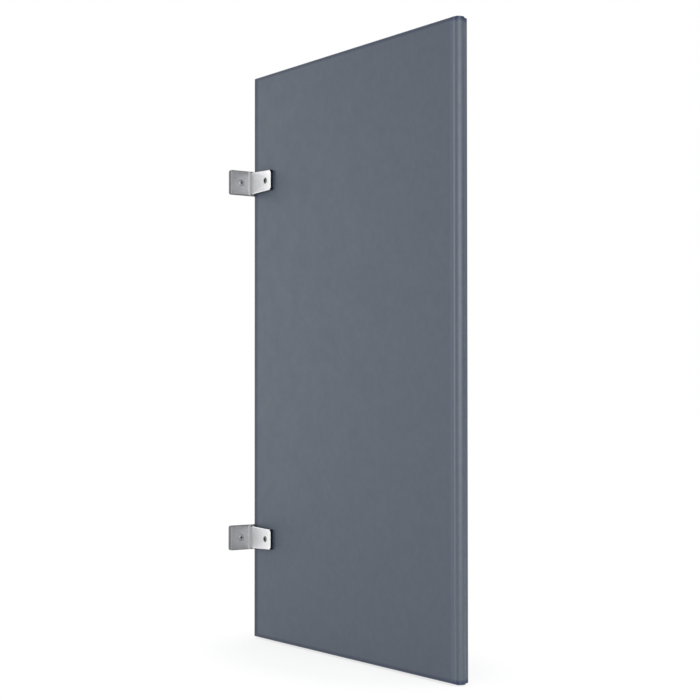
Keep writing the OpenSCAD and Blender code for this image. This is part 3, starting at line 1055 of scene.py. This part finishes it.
def turned_mesh(name, rings, segments, dark_from):
    """A closed turned body round Z. Each ring is (height, radius), and a radius may be a function
    of the angle. Rings from dark_from on carry the attribute that paints shade into a recess."""
    bm = bmesh.new()
    layer = bm.verts.layers.float.new("recess")

    def vertex(x, y, z, dark):
        """Adds a corner, dark or not."""
        vert = bm.verts.new((x, y, z))
        vert[layer] = float(dark)
        return vert

    rows = []
    for i, (height, radius) in enumerate(rings):
        row = []
        for k in range(segments):
            angle = 2 * math.pi * k / segments
            reach = radius(angle) if callable(radius) else radius
            x, y = reach * math.cos(angle), reach * math.sin(angle)
            row.append(vertex(x, y, height, i >= dark_from))
        rows.append(row)
    for lower, upper in zip(rows, rows[1:]):
        for (a, b), (c, d) in zip(neighbours(lower), neighbours(upper)):
            bm.faces.new((a, b, d, c))
    for row, (height, _), dark in ((rows[0], rings[0], False), (rows[-1], rings[-1], True)):
        centre = vertex(0, 0, height, dark)
        for a, b in neighbours(row):
            bm.faces.new((a, b, centre))
    bmesh.ops.recalc_face_normals(bm, faces=bm.faces)
    return mesh_from(bm, name)


def lobed(radius, lobe):
    """Outline of a six-lobed recess, as a radius for each angle."""
    half = math.pi / 6

    def reach(angle):
        """Distance to the outline at that angle."""
        off = (angle + half) % (2 * half) - half
        side = lobe**2 - (radius * math.sin(off)) ** 2
        return max(radius, radius * math.cos(off) + math.sqrt(side)) if side > 0 else radius

    return reach


def crossed(width, span):
    """Outline of a cross recess, as a radius for each angle."""
    corner = width / 2 * math.sqrt(2)
    least = 1e-9  # stands in for zero in a division

    def reach(angle):
        """Distance to the outline at that angle."""
        aside, along = sorted((abs(math.cos(angle)), abs(math.sin(angle))))
        return min(span / 2 / along, max(width / 2 / max(aside, least), corner))

    return reach


def tapered(outline, share):
    """An outline drawn in to a share of itself."""
    return lambda angle: outline(angle) * share


def dome_rings(radius, rise, inner, steps):
    """Rings over a low dome, from its rim to the edge of its recess."""
    curve = (radius**2 + rise**2) / (2 * rise)
    edge = inner(0.0)
    reaches = [radius + (edge - radius) * i / steps for i in range(steps + 1)]
    rings = [(rise - curve + math.sqrt(curve**2 - r**2), r) for r in reaches]
    return rings[:-1] + [(rings[-1][0], inner)]


class SCREEN_OT_through_bolts(bpy.types.Operator):
    """Make the bolts and barrel nuts that clamp the panel in the brackets"""

    bl_idname = "screen.through_bolts"
    bl_label = "Through Bolts"

    def execute(self, context):
        s = context.scene.screen_hardware
        tree = fixing_row_tree()
        # The bolts' darker zinc is painted shade at their heads, and their recesses carry painted
        # shade.
        zinc = zinc_plate("shade_darkened_zinc_steel", s.bolts, s.recess_shade)
        recess = lobed(s.recess_radius, s.lobe_radius)
        root_height, root_width = s.bolt_root
        for kind, shank, side in (("bolt", s.bolt, -1), ("barrel_nut", s.barrel, 1)):
            for level in LEVELS:
                node = f"{level}_{kind}"
                low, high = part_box(node)
                crest, end = (low.y, high.y) if side < 0 else (high.y, low.y)
                seat = crest - side * s.head_height
                tail = abs(end - seat)
                radius = (high.x - low.x) / 2
                dome = dome_rings(radius, s.head_height, recess, DOME_STEPS)
                rings = [
                    (-tail, shank - s.bolt_ease),
                    (-tail + s.bolt_ease, shank),
                    (-root_height, shank),
                    (0.0, shank + root_width),
                    (0.0, radius - s.head_ease),
                    (s.head_ease, radius),
                    *[ring for ring in dome if ring[0] > s.head_ease],
                    (dome[-1][0] - s.recess_lip, recess),
                    (s.head_height - s.recess, tapered(recess, s.lobed_floor)),
                ]
                bolt = grown(
                    node + "_turned",
                    turned_mesh(node + "_body", rings, BOLT_SIDES, len(rings) - 2),
                    tree,
                    {
                        "Count": 1,
                        "First": ((low.x + high.x) / 2, seat, (low.z + high.z) / 2),
                        "Turn": Euler((-side * QUARTER, 0, 0)),
                        "Material": zinc,
                    },
                )
                smooth_by_angle(bolt.data, FIXING_CREASE)
                finish_piece(bolt, zinc, node)
        return {"FINISHED"}


class SCREEN_OT_wall_screws(bpy.types.Operator):
    """Make the countersunk screws that hold the brackets to the wall"""

    bl_idname = "screen.wall_screws"
    bl_label = "Wall Screws"

    def execute(self, context):
        s = context.scene.screen_hardware
        tree = bpy.data.node_groups.get("fixing_row") or fixing_row_tree()
        zinc = zinc_plate("zinc_plated_steel", s.zinc, s.recess_shade)
        recess = crossed(s.cross_width, s.cross_length)
        root = s.shank - s.thread_depth
        crest = 0.95 * s.thread_depth  # keeps the thread just inside the shank's radius
        point = 2 * s.shank
        waist = 0.6 * root  # radius halfway along the point
        sink = (s.rim - s.neck) / math.tan(s.sink)
        neck_end = sink + s.neck_length
        thread_start = neck_end + s.neck_taper / 2
        ease_height, ease_width = s.rim_ease
        flattest = 0.05 * MM  # the least height of a ring of the dome over the rim
        dome = dome_rings(s.rim, s.oval, recess, OVAL_STEPS)
        for level in LEVELS:
            node = level + "_wall_screws"
            low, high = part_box(node)
            rim_x = high.x - s.oval + s.lost_crown
            tail = rim_x - low.x
            rings = [
                (-tail, s.tip),
                (-tail + point / 2, waist),
                (-tail + point, root),
                (-neck_end - s.neck_taper, root),
                (-neck_end, s.neck),
                (-sink, s.neck),
                (-ease_height, s.rim - ease_width),
                (0.0, s.rim),
                *[ring for ring in dome if ring[0] > flattest],
                (s.oval - s.recess, tapered(recess, s.crossed_floor)),
            ]
            screws = grown(
                node + "_threaded",
                turned_mesh(node + "_body", rings, SCREW_SIDES, len(rings) - 1),
                tree,
                {
                    "Count": 2,
                    "First": (rim_x, low.y + s.rim, (low.z + high.z) / 2),
                    "Step": (0, high.y - low.y - 2 * s.rim, 0),
                    "Turn": Euler((0, QUARTER, 0)),
                    "Threaded": True,
                    "Thread start": thread_start,
                    "Thread length": tail - point - thread_start,
                    "Point length": 0.8 * point,  # the thread runs out short of the tip
                    "Pitch": s.thread_pitch,
                    "Root radius": root,
                    "Crest": crest,
                    "Material": zinc,
                },
            )
            smooth_by_angle(screws.data, FIXING_CREASE)
            finish_piece(screws, zinc, node)
        return {"FINISHED"}


# ---------- stage ----------


def seen(tree):
    """1 where a surface is seen, straight, mirrored or through glass, and 0 where it lights."""
    rays = add(tree, "ShaderNodeLightPath", out=None).outputs
    share = rays["Is Camera Ray"]
    for ray in ("Is Glossy Ray", "Is Transmission Ray"):
        share = add(tree, "ShaderNodeMath", (share, rays[ray]), operation="MAXIMUM")
    return share


def studio_floor(name, settings, centre):
    """Matt white floor paper: it shows as the white background, and keeps a soft shadow in an
    oval round the panel's foot."""
    material, tree = new_nodes(bpy.data.materials, name)
    across, along = settings.foot
    place = add(tree, "ShaderNodeTexCoord", out="Object")
    oval = add(
        tree,
        "ShaderNodeMapping",
        {
            "Vector": place,
            "Location": (-centre.x / across, -centre.y / along, 0.0),
            "Scale": (1 / across, 1 / along, 0.0),
        },
    )
    away = add(tree, "ShaderNodeVectorMath", (oval,), operation="LENGTH")
    fade = (0.8, 1.5)  # the oval's own edge is at 1
    tones, glows = (0.42, 0.0), (0.74, 1.02)  # at the foot, and far from it
    shade = add(tree, "ShaderNodeMapRange", (away, *fade, *tones))
    glow = add(tree, "ShaderNodeMapRange", (away, *fade, *glows))
    shadowed = add(tree, "ShaderNodeBsdfDiffuse", {"Color": shade})
    white = add(tree, "ShaderNodeEmission", {"Color": WHITE, "Strength": glow})
    shown = add(tree, "ShaderNodeAddShader", (shadowed, white))
    paper = add(tree, "ShaderNodeBsdfDiffuse", {"Color": tuple(settings.paper)})
    mixed = add(tree, "ShaderNodeMixShader", (seen(tree), paper, shown))
    add(tree, "ShaderNodeOutputMaterial", (mixed,), out=None)
    material.cycles.emission_sampling = "NONE"
    return material


def studio_world(ambient):
    """A white world where it is seen or mirrored, and a plain even light elsewhere."""
    world, tree = new_nodes(bpy.data.worlds, "studio")
    strength = add(tree, "ShaderNodeMapRange", (seen(tree), 0.0, 1.0, ambient, 1.0))
    back = add(tree, "ShaderNodeBackground", {"Color": WHITE, "Strength": strength})
    add(tree, "ShaderNodeOutputWorld", (back,), out=None)
    bpy.context.scene.world = world


def lamp(name, place, target, size, watts):
    """A soft rectangular lamp that is aimed at its target."""
    light = bpy.data.lights.new(name, "AREA")
    light.shape = "RECTANGLE"
    light.size, light.size_y = size
    light.energy = watts
    obj = new_object(name, light)
    obj.location = place
    obj.rotation_euler = (Vector(target) - Vector(place)).to_track_quat("-Z", "Y").to_euler()


def card(name, place, size, tone):
    """An upright studio card that faces the panel and only shows in reflections."""
    width, height = size
    away = Vector((place[0], place[1], 0)).normalized()
    side = Vector((-away.y, away.x, 0)) * width / 2
    up = Vector((0, 0, height / 2))
    middle = Vector(place)
    corners = [middle - side - up, middle + side - up, middle + side + up, middle - side + up]
    material, tree = new_nodes(bpy.data.materials, name)
    glow = add(tree, "ShaderNodeEmission", {"Color": tuple(tone), "Strength": 1.0})
    add(tree, "ShaderNodeOutputMaterial", (glow,), out=None)
    material.cycles.emission_sampling = "NONE"
    obj = new_object(name, flat_mesh(name, corners))
    obj.data.materials.append(material)
    obj.visible_camera = obj.visible_diffuse = obj.visible_shadow = False
    obj.visible_transmission = False


class SCREEN_OT_stage(bpy.types.Operator):
    """Set the camera, the floor and the studio lights"""

    bl_idname = "screen.stage"
    bl_label = "Stage"

    def execute(self, context):
        s = context.scene.screen_stage
        camera = bpy.data.cameras.new("camera")
        camera.lens, camera.sensor_width = s.lens, s.sensor
        camera.shift_x, camera.shift_y = s.camera_shift
        camera.clip_start, camera.clip_end = 0.05, 60
        viewer = new_object("camera", camera)
        viewer.location = s.camera_place
        viewer.rotation_euler = s.camera_turn
        context.scene.camera = viewer

        low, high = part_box("bottom_cap")
        ground, reach = low.z - s.floor_gap, 20.0
        sides = ((-reach, -reach), (reach, -reach), (reach, reach), (-reach, reach))
        floor = new_object("floor", flat_mesh("floor", [(x, y, ground) for x, y in sides]))
        floor.data.materials.append(studio_floor("floor_paper", s, (low + high) / 2))

        studio_world(s.ambient)
        lamp("key_lamp", place=(3.4, -0.4, 0.2), target=(0.5, 0, 0), size=(2.4, 2.4), watts=s.key)
        lamp("side_lamp", place=(-2.0, -1.3, 0.1), target=(0.2, 0, 0), size=(0.9, 2.0), watts=s.side)
        card("dark_card", place=(1.6, 2.6, 0.0), size=(3.6, 3.0), tone=s.dark)
        context.scene.view_settings.view_transform = "Standard"
        return {"FINISHED"}


# ---------- sidebar ----------


class SCREEN_PT_sidebar(bpy.types.Panel):
    """Builds the pieces of the privacy screen"""

    bl_idname = "SCREEN_PT_sidebar"
    bl_label = "Privacy Screen"
    bl_space_type = "VIEW_3D"
    bl_region_type = "UI"
    bl_category = "Screen"

    def draw(self, context):
        for name, group in SETTINGS.items():
            box = self.layout.box()
            box.label(text=name.replace("screen_", "").capitalize())
            for key in group.__annotations__:
                box.prop(getattr(context.scene, name), key)
        for operator in OPERATORS:
            self.layout.operator(operator.bl_idname)


SETTINGS = {
    "screen_panel": ScreenPanelSettings,
    "screen_hardware": ScreenHardwareSettings,
    "screen_inside": ScreenInsideSettings,
    "screen_stage": ScreenStageSettings,
}
OPERATORS = (
    SCREEN_OT_face_sheets,
    SCREEN_OT_locking_strips,
    SCREEN_OT_inside,
    SCREEN_OT_brackets,
    SCREEN_OT_through_bolts,
    SCREEN_OT_wall_screws,
    SCREEN_OT_stage,
)
CLASSES = tuple(SETTINGS.values()) + OPERATORS + (SCREEN_PT_sidebar,)


def register():
    for cls in CLASSES:
        bpy.utils.register_class(cls)
    for name, group in SETTINGS.items():
        setattr(bpy.types.Scene, name, bpy.props.PointerProperty(type=group))


def unregister():
    for name in SETTINGS:
        delattr(bpy.types.Scene, name)
    for cls in reversed(CLASSES):
        bpy.utils.unregister_class(cls)


def main():
    register()
    bpy.ops.screen.face_sheets()
    bpy.ops.screen.locking_strips()
    bpy.ops.screen.inside()
    bpy.ops.screen.brackets()
    bpy.ops.screen.through_bolts()
    bpy.ops.screen.wall_screws()
    bpy.ops.screen.stage()


if __name__ == "__main__":
    main()
